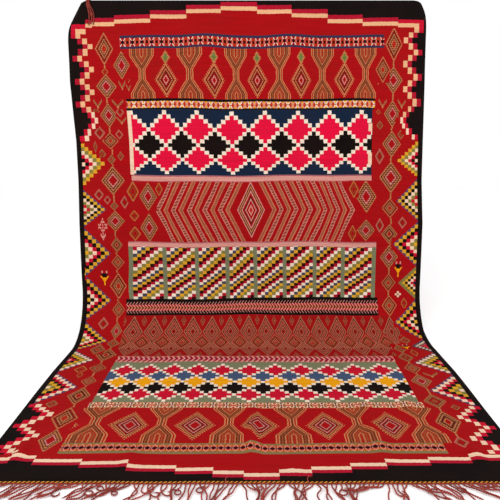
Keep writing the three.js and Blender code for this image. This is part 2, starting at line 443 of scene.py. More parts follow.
def smoothRoute(stops, count):
    # A smooth curve through the stops
    stops = np.asarray(stops, float)
    padded = np.concatenate([[2 * stops[0] - stops[1]], stops, [2 * stops[-1] - stops[-2]]])
    share = np.linspace(0, len(stops) - 1, count)
    k = np.minimum(share.astype(int), len(stops) - 2)
    t = (share - k)[:, None]
    before, start, end, after = (padded[k + n] for n in range(4))
    square = 2 * before - 5 * start + 4 * end - after
    cube = 3 * start - before - 3 * end + after
    return 0.5 * (2 * start + (end - before) * t + square * t**2 + cube * t**3)


edging = {
    "cords": [(13.0, -3.2, 1.7, 1.65), (-19.0, 2.2, 1.1, 1.1)],  # pitch, outwards, swing, ply radius
    "lift": 0.8,
    "half": 798.0,
    "points": 1300,
    "sides": 6,
    "unevenness": 0.3,
    "unevenPitch": 61,
    "tone": 0.9,
    "frontSeam": 0.3,  # between the cloth's edge and the cords
    "topSeam": 0.95,
    "frontOff": 1.0,  # height over the cloth's middle surface
    "topOff": 1.6,
}


def twinedEdging(name, middleS, baseOff, materials):
    # Two cords across the whole end: gold wound with dark next to the cloth, and red outside it
    strands = Strands()
    outward = 1 if middleS > 0 else -1
    x = np.linspace(-edging["half"], edging["half"], edging["points"])
    for ply in range(4):
        pitch, apart, swing, radius = edging["cords"][ply // 2]
        turn = 2 * math.pi * (x / pitch + ply / 2)
        turn = turn + edging["unevenness"] * np.sin(x / edging["unevenPitch"] + ply)
        s = middleS + apart * outward + swing * np.cos(turn)
        route = place(across(x, s), s, baseOff + edging["lift"] * np.sin(turn))
        strands.tube(route, radius / 1000, edging["sides"], min(ply, 2), edging["tone"])
    return strands.build(name, materials)


frontYarn = {
    "count": 124,
    "outermost": 790.0,
    "limit": 806.0,
    "length": 112.0,
    "shortest": 0.82,
    "radius": 1.4,
    "points": 34,
    "bunches": (2, 3, 4, 5, 6),
    "gather": 0.62,  # share by which a bunch draws together
    "bunchTurn": 0.24,  # turns and bends in radians, either way
    "strandTurn": 0.2,
    "bunchBend": 0.9,
    "strandBend": 0.5,
    "curled": 0.16,  # share of the strands that curl right round
    "curls": (3.4, 5.6),
    "waves": (0.1, 0.6),
    "lying": 0.0036,  # height of a strand over the floor
    "arch": (0.0002, 0.0052),
    "tones": (0.55, 1),
}
stray = {"radius": 0.42, "turn": 0.4, "pitch": 0.008, "points": 24, "tone": 1.4}
leans = [  # x, and how far the strands there turn aside, in degrees
    (-790, -76), (-660, -70), (-620, -24), (-560, -52), (-480, -40), (-350, -34), (-300, 10), (-230, -26),
    (-140, 20), (-105, -62), (-60, -8), (-12, 14), (60, -30), (130, -8), (230, 34), (280, -34), (366, -66),
    (410, 12), (497, 48), (600, 62), (790, 74),
]
strays = [(-77, 2600, 2), (151, 2596, 3)]  # x, how far up it lies, turn aside


def strandRoute(start, heading, swing, wave, phase, length):
    # Where a limp strand lies: its heading wanders as it goes along the floor
    share = np.linspace(0, 1, frontYarn["points"])
    turn = heading * smoothstep(share, 0, 0.22) + swing * smoothstep(share, 0.3, 1)
    turn = turn + wave * np.sin(2 * math.pi * share * 1.3 + phase) * smoothstep(share, 0, 0.3)
    step = length / (frontYarn["points"] - 1)
    x = start + np.concatenate([[0], np.cumsum(np.sin(turn[:-1]) * step)])
    forward = np.concatenate([[0], np.cumsum(np.cos(turn[:-1]) * step)])
    return share, x, forward


def frontFringe(material):
    chance = random.Random(41)
    strands = Strands()
    rootS = shape["end"] + edging["frontSeam"] + shape["band"] - 4
    rootY = float(profile(np.array(rootS))[0]) / 1000
    lyingZ = frontYarn["lying"] - shape["height"] / 1000
    step = 2 * frontYarn["outermost"] / (frontYarn["count"] - 1)
    radius = frontYarn["radius"] / 1000

    def either(most):
        return chance.uniform(-most, most)

    first = 0
    while first < frontYarn["count"]:
        size = min(chance.choice(frontYarn["bunches"]), frontYarn["count"] - first)
        middle = (first + (size - 1) / 2) * step - frontYarn["outermost"]
        aside = math.radians(float(np.interp(middle, *zip(*leans)))) + either(frontYarn["bunchTurn"])
        gather = frontYarn["gather"] * chance.uniform(0.3, 1.2)
        bend = either(frontYarn["bunchBend"])
        for k in range(first, first + size):
            root = k * step - frontYarn["outermost"]
            swing = bend + either(frontYarn["strandBend"])
            if chance.random() < frontYarn["curled"]:
                swing = chance.choice((-1, 1)) * chance.uniform(*frontYarn["curls"])
            length = frontYarn["length"] * chance.uniform(frontYarn["shortest"], 1.0)
            wave = chance.uniform(*frontYarn["waves"])
            heading = aside + either(frontYarn["strandTurn"])
            share, x, forward = strandRoute(root, heading, swing, wave, chance.uniform(0, 6.3), length)
            x = x + (middle - root) * gather * smoothstep(share, 0.05, 0.4)
            x = np.clip(x, -frontYarn["limit"], frontYarn["limit"]) + shape["shift"]
            forward = np.clip(forward, 2.2 * np.clip(share * 12, 0, 1), None)
            arch = chance.uniform(*frontYarn["arch"]) * np.sin(math.pi * share) ** 0.6
            route = np.stack([x / 1000, rootY - forward / 1000, lyingZ + arch], axis=1)
            tone = chance.uniform(*frontYarn["tones"])
            strands.twisted(route, radius, radius * yarn["turn"], yarn["pitch"], tone)
        first += size
    for x, top, aside in strays:
        stops = [
            (x, rootS, 3.6),
            (x - aside, (rootS + top) / 2, 5.6),
            (x + aside, top, 4.4),
            (x + aside * 2.6, top + 5, 3.4),
        ]
        route = smoothRoute([place(*stop) for stop in stops], stray["points"])
        plyRadius = radius * stray["radius"]
        strands.twisted(route, plyRadius, radius * stray["turn"], stray["pitch"], stray["tone"])
    return strands.build("front_yarns", [material])


topYarn = {
    "first": -730.0,
    "last": 765.0,
    "count": 75,
    "length": 112.0,
    "radius": 1.5,
    "points": 22,
    "depth": 0.0113,  # y of the strands behind the crest
    "wander": 3,
    "tones": (0.6, 1),
    "gap": (-726, -690),  # where the lock lies
}
lockRoute = [  # x and s of the lock that falls forward over the crest
    (-709, -45), (-710, -21.4), (-711, -13.7), (-712, -5.7), (-713, 2.3),
    (-712, 21), (-704, 48), (-699, 78), (-702, 106),
]
lockTones = (0.5, 0.9, 0.65, 1.05, 0.55, 0.85, 0.7)
lock = {"apart": 2.3, "off": 4.9, "end": 15, "radius": 0.86, "turn": 0.9, "loose": 4.5, "points": 44}


def topFringe(material):
    chance = random.Random(17)
    strands = Strands()
    upper = backEdge - edging["topSeam"]
    rootZ = float(profile(np.array(upper - shape["band"] + 3))[1]) / 1000
    radius = topYarn["radius"] / 1000
    step = (topYarn["last"] - topYarn["first"]) / (topYarn["count"] - 1)
    for i in range(topYarn["count"]):
        x = topYarn["first"] + i * step
        if topYarn["gap"][0] < x < topYarn["gap"][1]:
            continue
        reach = topYarn["length"] * (0.88 + 0.12 * math.sin(i * 1.9))
        sway = 5 * math.sin(x / 47) + chance.uniform(-topYarn["wander"], topYarn["wander"])
        bow = chance.uniform(-topYarn["wander"], topYarn["wander"])
        stops = []
        for share in (0, 0.25, 0.5, 0.75, 1):
            px = x + sway * share * share + bow * math.sin(math.pi * share)
            py = topYarn["depth"] + 0.0012 * math.sin(5 * share + i)
            stops.append((px / 1000, py, rootZ - reach * share / 1000))
        route = smoothRoute(stops, topYarn["points"])
        tone = chance.uniform(*topYarn["tones"])
        strands.twisted(route, radius, radius * yarn["turn"], yarn["pitch"], tone)
    lockRadius = radius * lock["radius"]
    for strand, tone in enumerate(lockTones):
        side = (strand - len(lockTones) // 2) * lock["apart"]
        stops = []
        for row, (x, s) in enumerate(lockRoute):
            loose = smoothstep(row, 4, 7)
            spread = side * (1 + 0.5 * loose) + lock["loose"] * loose * math.sin(strand * 2.1 + row * 1.3)
            end = lock["end"] * chance.uniform(-1, 0.4) if row == len(lockRoute) - 1 else 0
            stops.append(place(x + spread, s + end, lock["off"] + 0.9 * math.sin(strand * 2 + row)))
        route = smoothRoute(stops, lock["points"])
        strands.twisted(route, lockRadius, lockRadius * lock["turn"], yarn["pitch"], tone)
    return strands.build("top_yarns", [material])


class Wire:
    # A socket that takes part in Python sums
    def __init__(self, graph, socket):
        self.graph = graph
        self.socket = socket

    def __add__(self, other):
        return self.graph.math("ADD", self, other)

    def __radd__(self, other):
        return self.graph.math("ADD", other, self)

    def __sub__(self, other):
        return self.graph.math("SUBTRACT", self, other)

    def __rsub__(self, other):
        return self.graph.math("SUBTRACT", other, self)

    def __mul__(self, other):
        return self.graph.math("MULTIPLY", self, other)

    def __rmul__(self, other):
        return self.graph.math("MULTIPLY", other, self)

    def __truediv__(self, other):
        return self.graph.math("DIVIDE", self, other)

    def __lt__(self, other):
        return self.graph.math("LESS_THAN", self, other)

    def __gt__(self, other):
        return self.graph.math("GREATER_THAN", self, other)

    def __abs__(self):
        return self.graph.math("ABSOLUTE", self)

    def floor(self):
        return self.graph.math("FLOOR", self)

    def least(self, other):
        return self.graph.math("MINIMUM", self, other)

    def most(self, other):
        return self.graph.math("MAXIMUM", self, other)

    def sine(self):
        return self.graph.math("SINE", self)

    def cycle(self, length):
        # Runs from 0 to the length and starts again
        return self.graph.math("FLOORED_MODULO", self, length)

    def fold(self, period):
        # Distance from the nearest whole multiple of the period
        return self.graph.math("PINGPONG", self, period / 2)


# The dyes as they look: red, green and blue out of 255
inks = {
    "red": (173, 8, 18),
    "crimson": (208, 14, 48),
    "ruby": (236, 12, 62),
    "scarlet": (190, 42, 24),
    "cream": (252, 216, 184),
    "peach": (242, 186, 138),
    "white": (255, 236, 214),
    "black": (11, 9, 12),
    "navy": (12, 36, 62),
    "blue": (68, 88, 120),
    "indigo": (78, 66, 106),
    "green": (104, 122, 62),
    "dark": (44, 52, 44),
    "olive": (140, 128, 60),
    "gold": (250, 170, 14),
    "honey": (246, 186, 84),
    "amber": (206, 116, 34),
    "orange": (204, 84, 36),
    "pink": (226, 146, 134),
    "rose": (196, 84, 92),
    "mauve": (128, 86, 108),
    "plum": (132, 20, 58),
    "slate": (50, 50, 78),
    "straw": (228, 168, 44),
    "clay": (198, 118, 90),
    "moss": (134, 120, 78),
    "wine": (184, 16, 46),
    "maroon": (42, 6, 12),
    "blush": (232, 168, 156),
    "beige": (186, 132, 90),
    "fringe": (178, 64, 58),
    "faded": (202, 98, 86),
    "brown": (96, 26, 20),
    "tan": (206, 134, 86),
    "bark": (154, 80, 46),
    "dusk": (176, 92, 74),
    "sage": (128, 132, 100),
    "grey": (66, 72, 88),
}


def ink(name):
    channels = [value / 255 for value in inks[name]]
    linear = [v / 12.92 if v <= 0.04045 else ((v + 0.055) / 1.055) ** 2.4 for v in channels]
    return (*linear, 1.0)


class Graph:
    # One material's nodes
    def __init__(self, name):
        self.material = bpy.data.materials.new(name)
        self.material.use_nodes = True
        self.nodes = self.material.node_tree.nodes
        self.links = self.material.node_tree.links
        self.nodes.clear()

    def add(self, kind, settings=None, values=None):
        node = self.nodes.new("ShaderNode" + kind)
        for key, value in (settings or {}).items():
            setattr(node, key, value)
        for key, value in (values or {}).items():
            socket = node.inputs[key]
            if isinstance(value, Wire):
                self.links.new(value.socket, socket)
            else:
                socket.default_value = value
        return node

    def math(self, operation, *terms):
        node = self.add("Math", {"operation": operation}, dict(enumerate(terms)))
        return Wire(self, node.outputs[0])

    def split(self, vector):
        node = self.add("SeparateXYZ", None, {0: vector})
        return [Wire(self, output) for output in node.outputs]

    def joined(self, x, y, z=0.0):
        # A vector of up to three numbers
        return Wire(self, self.add("CombineXYZ", None, {0: x, 1: y, 2: z}).outputs[0])

    def uv(self, name):
        # Coordinates on the cloth in millimetres
        node = self.add("UVMap", {"uv_map": name})
        x, s, _ = self.split(Wire(self, node.outputs[0]))
        return x * 1000, s * 1000

    def noise(self, vector, scale, detail):
        node = self.add("TexNoise", None, {"Vector": vector, "Scale": scale, "Detail": detail})
        return Wire(self, node.outputs["Fac"]), Wire(self, node.outputs["Color"])

    def mix(self, factor, first, second, blend="MIX"):
        node = self.add("Mix", {"data_type": "RGBA", "blend_type": blend})
        for index, value in ((0, factor), (6, first), (7, second)):
            if isinstance(value, Wire):
                self.links.new(value.socket, node.inputs[index])
            else:
                node.inputs[index].default_value = value
        return Wire(self, node.outputs[2])

    def ramp(self, value, stops, low, high):
        # Each stop is (value from which the ink holds, ink)
        node = self.add("ValToRGB", None, {0: (value - low) * (1 / (high - low))})
        ramp = node.color_ramp
        ramp.interpolation = "CONSTANT"
        places = [max(0.0, (at - low) / (high - low)) for at, _ in stops]
        ramp.elements[0].position = 0.0
        ramp.elements[0].color = ink(stops[0][1])
        ramp.elements.remove(ramp.elements[1])
        for spot, (_, name) in list(zip(places, stops))[1:]:
            ramp.elements.new(spot).color = ink(name)
        return Wire(self, node.outputs[0])

    def rings(self, index, names):
        # Whole numbers from 0 up pick the inks one after another
        stops = [(k - 0.5, name) for k, name in enumerate(names)]
        return self.ramp(index, stops, -0.5, len(names) - 0.5)

    def cloudy(self, x, s, scales, detail):
        # Noise that may be stretched one way, as a number and as a colour
        return self.noise(self.joined(x * scales[0], s * scales[1]), 1.0, detail)

    def shaded(self, colour, light):
        return self.mix(1.0, colour, self.joined(light, light, light), "MULTIPLY")

    def bumped(self, height, strength, distance):
        node = self.add("Bump", None, {"Strength": strength, "Distance": distance, "Height": height})
        return Wire(self, node.outputs[0])

    def surfaced(self, colour, roughness, specular, normal=None):
        # Closes the material with its one shader
        values = {"Base Color": colour, "Roughness": roughness, "Specular IOR Level": specular}
        if normal is not None:
            values["Normal"] = normal
        shader = self.add("BsdfPrincipled", None, values)
        self.add("OutputMaterial", None, {0: Wire(self, shader.outputs[0])})
        return self.material


wool = {
    "wale": 3.2,  # mm from one warp to the next
    "weft": 1.7,
    "bump": 0.35,
    "depth": 0.0012,
    "roughness": 0.94,
    "specular": 0.04,
    "streaks": (0.0045, 0.11),  # turns a millimetre across and along
    "fibres": (0.22, 0.75),
    "patches": (0.006, 0.006),
    "wander": 4.0,  # mm by which the edges of a figure stray
    "wanders": (0.09, 0.09),
}


def finished(graph, colour):
    # Wool: streaks along the weft, worn patches, loose fibres and the ribs of the weave
    x, s = graph.uv("cloth")
    streaks = graph.cloudy(x, s, wool["streaks"], 3.0)[0]
    fibres = graph.cloudy(x, s, wool["fibres"], 1.0)[0]
    worn = graph.cloudy(x, s, wool["patches"], 2.0)[0]
    tinted = graph.shaded(colour, 0.42 + 0.34 * streaks + 0.32 * fibres - 0.10 * worn)
    dusty = graph.mix(0.02 * worn, tinted, ink("beige"))
    warps = x * (math.pi / wool["wale"])
    wale = abs(warps.sine())
    rib = abs((s * (math.pi / wool["weft"]) + warps.floor() * 0.5).sine())
    normal = graph.bumped(0.6 * wale + 0.3 * rib + 0.5 * fibres, wool["bump"], wool["depth"])
    return graph.surfaced(dusty, wool["roughness"], wool["specular"], normal)


weave = {}


def woven(draw, name=None):
    # Makes a material of a pattern, which turns motif coordinates into a colour
    graph = Graph(name or draw.__name__)
    x, s = graph.uv("motif")
    strayX, strayS, _ = graph.split(graph.cloudy(x, s, wool["wanders"], 1.0)[1])
    wander = wool["wander"]
    colour = draw(graph, x + (strayX - 0.5) * wander, s + (strayS - 0.5) * wander)
    weave[graph.material.name] = finished(graph, colour)
    return draw


def plainInk(name, colour):
    graph = Graph(name)
    weave[name] = finished(graph, graph.ramp(graph.uv("motif")[0], [(-9, colour), (9, colour)], -9, 9))


plainInk("ground", "red")
plainInk("selvedge", "black")
plainInk("creamBlock", "cream")


# Bars along the ends and sides, counted from the edge inwards, or towards it at the lower end
def barInks(name, counted, *stops):
    def bar(graph, x, s):
        return graph.ramp(counted(x, s), stops, -80, 80)

    woven(bar, name)


barInks("endBar", lambda x, s: s, (-80, "black"), (0, "wine"), (18, "peach"), (35, "red"))
barInks("endBarLow", lambda x, s: s, (-80, "red"), (0, "cream"), (16, "wine"), (31, "black"))
barInks("sideBar", lambda x, s: x, (-80, "black"), (0, "crimson"), (23, "cream"), (43, "red"))
barInks("sideBarHigh", lambda x, s: x, (-80, "black"), (0, "wine"), (22, "peach"), (44, "red"))
barInks("cornerBar", lambda x, s: x.least(s), (-80, "black"), (0, "crimson"), (21, "peach"), (42, "red"))


# Narrow bands of crosses and panels
@woven
def crossBand(graph, x, s):
    near = x.fold(45)
    tall = abs(s)
    panel = graph.ramp(near, [(-1, "red"), (9, "scarlet"), (12, "orange"), (15, "scarlet")], -1, 24)
    cross = abs(tall * 0.62 - near) < 1.6
    lines = (abs(near - 12.5 + tall * 0.1) < 1.3) * (tall < 17)
    figure = graph.mix(lines, panel, ink("pink"))
    crossed = graph.mix(cross, figure, ink("white"))
    middle = (near < 6) * (tall < 7)
    dotted = graph.mix(middle, crossed, ink("black"))
    dotted = graph.mix((near > 17) * (tall < 6), dotted, ink("maroon"))
    edge = graph.ramp(tall, [(-1, "slate"), (31.5, "red")], -1, 60)
    return graph.mix(tall > 18.6, dotted, edge)


@woven
def starBand(graph, x, s):
    near = x.fold(22)
    tall = abs(s)
    bright = (x + 11).cycle(44) < 22
    panel = graph.ramp(near, [(-1, "gold"), (4, "orange"), (8, "scarlet")], -1, 12)
    cross = abs(tall * 0.62 - near) < 2.4
    arms = graph.mix(bright, ink("pink"), ink("white"))
    figure = graph.mix(cross, panel, arms)
    core = (near + tall < 3.6) * bright
    lit = graph.mix(core, figure, ink("brown"))
    return graph.mix(tall > 15, lit, ink("black"))


@woven
def railBand(graph, x, s):
    near = x.fold(24)
    tall = abs(s)
    side = (x + 12).cycle(48) < 24
    warm = graph.ramp(near, [(-1, "scarlet"), (4, "orange"), (8, "pink"), (10.5, "bark")], -1, 13)
    pale = graph.ramp(near, [(-1, "black"), (2.6, "pink"), (6.5, "red"), (9, "olive")], -1, 13)
    panel = graph.mix(side, warm, pale)
    cross = abs(tall * 0.5 - near) < 2.2
    figure = graph.mix(cross * (tall > 4), panel, ink("cream"))
    return graph.mix(tall > 17.5, figure, ink("tan"))


@woven
def dotBand(graph, x, s):
    near = x.fold(22.5)
    tall = abs(s - 2.5)
    post = abs(near - tall * 0.6) < 1.8
    panel = graph.ramp(tall, [(-1, "brown"), (6, "scarlet"), (11, "amber"), (16, "bark")], -1, 26)
    figure = graph.mix(post, panel, ink("pink"))
    dots = (near > 6.6).most(near < 1.6) * (tall < 5.0)
    dotted = graph.mix(dots, figure, ink("black"))
    return graph.mix(tall > 18.5, dotted, ink("moss"))


@woven
def twill(graph, x, s):
    tall = abs(s)
    bend = tall.least(15) * 2 - tall
    stroke = (x + bend * 0.75).cycle(14)
    ground = graph.ramp(tall, [(-1, "brown"), (5, "wine"), (14.5, "maroon"), (17, "black")], -1, 44)
    light = graph.ramp(tall, [(-1, "tan"), (5, "pink"), (14.5, "pink"), (28, "black")], -1, 44)
    width = 6.2 - (tall > 14.5) * 3.0
    return graph.mix(stroke < width, ground, light)


@woven
def tickBand(graph, x, s):
    tall = abs(s)
    slant = (x + tall * 0.5).cycle(21)
    lines = graph.ramp(slant, [(-1, "blush"), (6, "rose"), (9, "plum"), (16, "crimson")], -1, 21)
    fade = graph.ramp(slant, [(-1, "blush"), (9, "dusk"), (15, "rose")], -1, 21)
    figure = graph.mix(tall > 19, lines, fade)
    return graph.mix(s < -25, figure, ink("dusk"))


@woven
def pinkBand(graph, x, s):
    fleck = graph.cloudy(x, s, (0.05, 0.4), 2.0)[0]
    lines = [(-20, "mauve"), (-11.5, "rose"), (-8, "blush"), (-1, "pink"), (2, "blush"), (10.5, "rose")]
    base = graph.ramp(s, lines, -20, 20)
    return graph.mix(fleck * 0.5, base, ink("pink"))


# Hourglasses at every 200 and nested diamonds half way between them
def hourglassRow(graph, x, s, diamondInks, size, tallness):
    near = x.fold(200)
    tall = abs(s)
    width = (15 + (tall - 22).most(0) * 0.6).least(52)
    inward = width - near
    lines = [(-30, "red"), (0, "tan"), (4, "red"), (8, "tan"), (12, "brown"), (17, "bark"), (21, "brown"),
             (26, "tan"), (30, "red"), (35, "bark"), (39, "red"), (43, "tan"), (47, "red")]
    glass = graph.ramp(inward, lines, -30, 60)
    knots = ((tall + near).cycle(8) < 2.8) * (inward > 12) * 0.7
    glass = graph.mix(knots, glass, ink("bark"))
    away = 100 - near
    rise = abs(s - 25)
    ring = away / size + rise / tallness
    hairs = ((away * 0.8 - rise * 0.6).cycle(9) < 3.6) * (ring > 0.98) * (ring < 1.15)
    diamond = graph.ramp(ring, [(-0.3, "red")] + diamondInks, -0.3, 1.2)
    worked = graph.mix((rise.cycle(8) < 2.6) * (ring > 0.25) * (ring < 0.9) * 0.5, diamond, ink("brown"))
    shown = graph.mix(ring < 0.98, glass, worked)
    return graph.mix(hairs, shown, ink("tan")), away


@woven
def glassRow(graph, x, s):
    inksIn = [(0.20, "pink"), (0.31, "red"), (0.42, "brown"), (0.52, "red"), (0.60, "tan"), (0.70, "brown"),
              (0.78, "red"), (0.87, "tan"), (0.98, "red")]
    shown, away = hourglassRow(graph, x, s, inksIn, 42, 74)
    bud = away / 15 + abs(s + 74) / 27
    spiky = bud + ((away + abs(s + 74)).cycle(7) < 3) * 0.28
    drawn = graph.ramp(spiky, [(-0.1, "green"), (0.72, "olive"), (0.95, "tan"), (1.25, "red")], -0.1, 1.4)
    return graph.mix(spiky < 1.25, shown, drawn)


@woven
def glassRowLow(graph, x, s):
    inksIn = [(0.30, "pink"), (0.38, "brown"), (0.48, "red"), (0.56, "pink"), (0.64, "black"), (0.70, "red"),
              (0.78, "tan"), (0.86, "brown"), (0.92, "tan"), (0.98, "red")]
    shown, _ = hourglassRow(graph, x, s + 19, inksIn, 53, 80)
    return shown


# Panels of stepped diamonds, worked in whole blocks
@woven
def widePanel(graph, x, s):
    wide = 18.9
    tall = 18
    column = ((x + wide / 2) / wide).floor().fold(8)
    row = ((s + tall / 2) / tall).floor()
    turn = row.fold(8)
    within = (row > -0.5) * (row < 16.5)
    outside = graph.ramp(row, [(-3, "navy"), (3.5, "black"), (12.5, "navy")], -3, 20)
    filled = graph.mix((column < turn - 0.5) * within, outside, ink("ruby"))
    line = (abs(column - turn) < 0.5) * within
    return graph.mix(line, filled, ink("white"))


@woven
def lowPanel(graph, x, s):
    wide = 17.2
    tall = 18
    column = x.fold(6 * wide) / wide
    row = ((s + tall / 2) / tall).floor()
    turn = row.fold(6)
    between = graph.ramp(row, [(-3, "sage"), (2.5, "blue"), (8.5, "black"), (14.5, "sage")], -3, 22)
    inside = graph.ramp(row, [(-3, "crimson"), (5.5, "gold"), (11.5, "crimson")], -3, 22)
    within = (row > -0.5) * (row < 18.5)
    filled = graph.mix((column < turn) * within, between, inside)
    line = (abs(column - turn) < 0.42) * within
    return graph.mix(line, filled, ink("white"))


@woven
def checks(graph, x, s):
    wide = 18.6
    tall = 16
    local = x.cycle(150)
    column = (local / wide).floor()
    row = (s / tall).floor()
    names = ["wine", "white", "grey", "straw", "maroon", "wine", "white", "olive", "straw", "maroon"]
    names = names + names[:7] + ["grey", "straw", "olive", "white", "wine", "maroon"]
    blocks = graph.rings(column + row, names)
    return graph.mix(local > 7 * wide, blocks, ink("sage"))


@woven
def chevrons(graph, x, s):
    along = abs(x) + abs(s) * 0.49
    limit = 444 + (x > 0) * 72
    local = (along - 100).cycle(72)
    lines = [(-1, "clay"), (5, "dusk"), (8, "bark"), (12, "clay"), (17, "tan"), (20, "red"),
             (34, "pink"), (38, "clay"), (50, "pink"), (54, "red")]
    stripes = graph.ramp(local, lines, -1, 72)
    knots = ((s + x * 0.3).cycle(13) < 6) * (local > 37.5) * (local < 50.5)
    striped = graph.mix(knots * 0.85, stripes, ink("brown"))
    dash = ((s + x * 0.3).cycle(9) < 3.6) * ((local < 20).most((local > 33) * (local < 55)))
    striped = graph.mix(dash * 0.3, striped, ink("red"))
    nested = [(-1, "scarlet"), (8, "pink"), (13, "red"), (22, "pink"), (27, "brown"), (33, "red"),
              (40, "pink"), (45, "brown"), (50, "tan"), (55, "brown"), (60, "pink"), (65, "red")]
    middle = graph.ramp(along, nested, -1, 100)
    figure = graph.mix(along < 92, striped, middle)
    return graph.mix(along > limit, figure, ink("red"))


@woven
def drops(graph, x, s):
    near = x.fold(88)
    away = 44 - near
    first = near / 43 + (s * -1).most(0) / 90 + s.most(0) / 80
    later = s - 130
    third = near / 43 + (later * -1).most(0) / 70 + later.most(0) / 84
    offset = away / 37 + abs(s - 73) / 58
    small = away / 14 + abs(s + 62) / 34
    foot = away / 15 + abs(s - 200) / 38
    dash = (near - abs(s) * 0.6).cycle(9) < 3.4
    nested = first.least(third) - dash * 0.04
    darkLines = [(-0.1, "brown"), (0.10, "red"), (0.24, "clay"), (0.34, "brown"), (0.46, "clay"),
                 (0.55, "red"), (0.66, "clay"), (0.75, "brown"), (0.87, "clay"), (0.98, "red")]
    dark = graph.ramp(nested, darkLines, -0.1, 1.2)
    warm = offset.least(small + 0.2).least(foot + 0.2)
    lightLines = [(-0.1, "red"), (0.16, "clay"), (0.28, "red"), (0.44, "tan"), (0.54, "brown"),
                  (0.70, "bark"), (0.78, "red"), (0.90, "clay"), (1.0, "red")]
    light = graph.ramp(warm, lightLines, -0.1, 1.2)
    figure = graph.mix(nested < 0.98, light, dark)
    return graph.mix(dash * 0.55, figure, ink("brown"))


def orderOf(x):
    # Which order of inks a patch takes, and x without it
    order = ((x + orderStart) / orderStep).floor()
    return order, x - order * orderStep


# Half diamonds that grow in from the sides: rings of blocks, four orders to a material
def triangleInks(name, orders):
    def triangle(graph, x, s):
        order, local = orderOf(x)
        blocksIn = local / 20
        blocksDown = abs(s) / 15.5
        ring = (blocksIn.floor() + (blocksDown + 0.5).floor()).most(0)
        blocks = graph.rings(order * 7 + ring.least(6), sum(orders, []))
        return graph.mix((ring > 5.5) * (blocksIn + blocksDown > 6.55), blocks, ink("red"))

    woven(triangle, name)


triangleInks("trianglesA", [
    ["cream", "black", "crimson", "cream", "olive", "straw", "red"],
    ["cream", "crimson", "olive", "cream", "black", "straw", "indigo"],
    ["straw", "olive", "cream", "crimson", "black", "straw", "indigo"],
    ["straw", "black", "cream", "crimson", "black", "straw", "indigo"],
])
triangleInks("trianglesB", [
    ["pink", "crimson", "black", "straw", "olive", "cream", "indigo"],
    ["cream", "olive", "straw", "black", "crimson", "cream", "indigo"],
    ["crimson", "crimson", "rose", "black", "cream", "grey", "grey"],
    ["navy", "crimson", "cream", "black", "straw", "olive", "moss"],
])


# Nested diamonds of the side chains, drawn from -100 to 100 both ways
def nestedInks(name, orders, dotted):
    def nested(graph, x, s):
        order, local = orderOf(x)
        dash = (abs(local) - abs(s)).cycle(25) < 10
        reach = (abs(local) + abs(s)) / 100 - dash * dotted
        ring = (reach * 8).floor().least(8)
        blocks = graph.rings(order * 9 + ring, sum((names + ["red"] for names in orders), []))
        return graph.mix(dash * (ring > 1.5) * (ring < 7.5) * 0.45, blocks, ink("brown"))

    woven(nested, name)


nestedInks("chain", [
    ["red", "red", "red", "pink", "brown", "tan", "brown", "tan"],
    ["scarlet", "red", "tan", "brown", "tan", "brown", "red", "tan"],
    ["red", "red", "tan", "brown", "brown", "tan", "brown", "tan"],
], 0.06)
nestedInks("rings", [
    ["red", "red", "red", "red", "brown", "tan", "red", "pink"],
    ["red", "red", "red", "bark", "red", "red", "amber", "tan"],
    ["bark", "bark", "red", "red", "brown", "tan", "brown", "tan"],
], 0.10)


@woven
def stem(graph, x, s):
    wide = abs(x) + (s.cycle(9) < 4) * 1.2
    return graph.ramp(wide, [(-1, "tan"), (2.2, "bark"), (4.2, "red")], -1, 20)


@woven
def vee(graph, x, s):
    arms = abs(s + abs(x) * 1.4 - 60)
    line = (arms < 34) * (abs(x) < 96) * (abs(s) < 96)
    low = (abs(x) < 14) * (s > 40) * (s < 92)
    inksIn = [(-1, "tan"), (12, "brown"), (20, "tan"), (30, "red")]
    worked = graph.ramp(arms, inksIn, -1, 40)
    speck = ((x + s).cycle(34) < 12) * 0.8
    figure = graph.mix(line, ink("red"), graph.mix(speck, worked, ink("brown")))
    return graph.mix(low, figure, ink("tan"))


@woven
def arrow(graph, x, s):
    first = abs(s - abs(x) * 0.9 + 88)
    second = abs(s + abs(x) * 0.7 - 20)
    arms = first.least(second) < 13
    line = arms.most(abs(x) < 10) * (s.cycle(26) < 18) * (abs(x) < 90)
    foot = (abs(s + abs(x) * 0.7 - 80) < 12) * (abs(x) < 50)
    return graph.mix(line.most(foot), ink("red"), ink("pink"))


@woven
def sprout(graph, x, s):
    wide = abs(x)
    prongs = (abs(wide - 42) < 14) * (s > -100) * (s < -66)
    bowl = (wide < 62) * (s > -66) * (s < -40) + (wide < 36) * (s > -40) * (s < -10)
    arms = (abs(wide + s * 1.1 - 42) < 15) * (s > -28) * (s < 40)
    gold = arms + (wide < 30) * (s > -10) * (s < 36) + (wide < 14) * (s > 30) * (s < 96)
    base = graph.mix(prongs, ink("red"), ink("pink"))
    dark = graph.mix(bowl.least(1), base, ink("black"))
    return graph.mix(gold.least(1), dark, ink("gold"))


@woven
def flower(graph, x, s):
    petals = (abs(x).least(abs(s)) < 24) * (abs(x).most(abs(s)) < 78)
    core = abs(x).most(abs(s)) < 20
    base = graph.mix(petals, ink("red"), ink("cream"))
    return graph.mix(core, base, ink("black"))


# The layout, measured in millimetres on the cloth
plain = [(0, 0)]
measured = [(0, 0), (1, 1)]
leftmost = -830
rightmost = 830


def barAt(name, left, right, top, bottom, startX, startS, scale=1.0):
    # A box whose pattern counts from the given place: to the right, or to the left for a scale below zero
    pairs = [(startX - 100, -100 * scale), (startX + 100, 100 * scale)]
    paint(name, left, right, top, bottom, pairs, [(startS, 0), (startS + 100, 100)])


def marks(start, step, *places):
    # Measured places that fall on even steps of the pattern
    return [(spot, start + step * k) for k, spot in enumerate(places)]


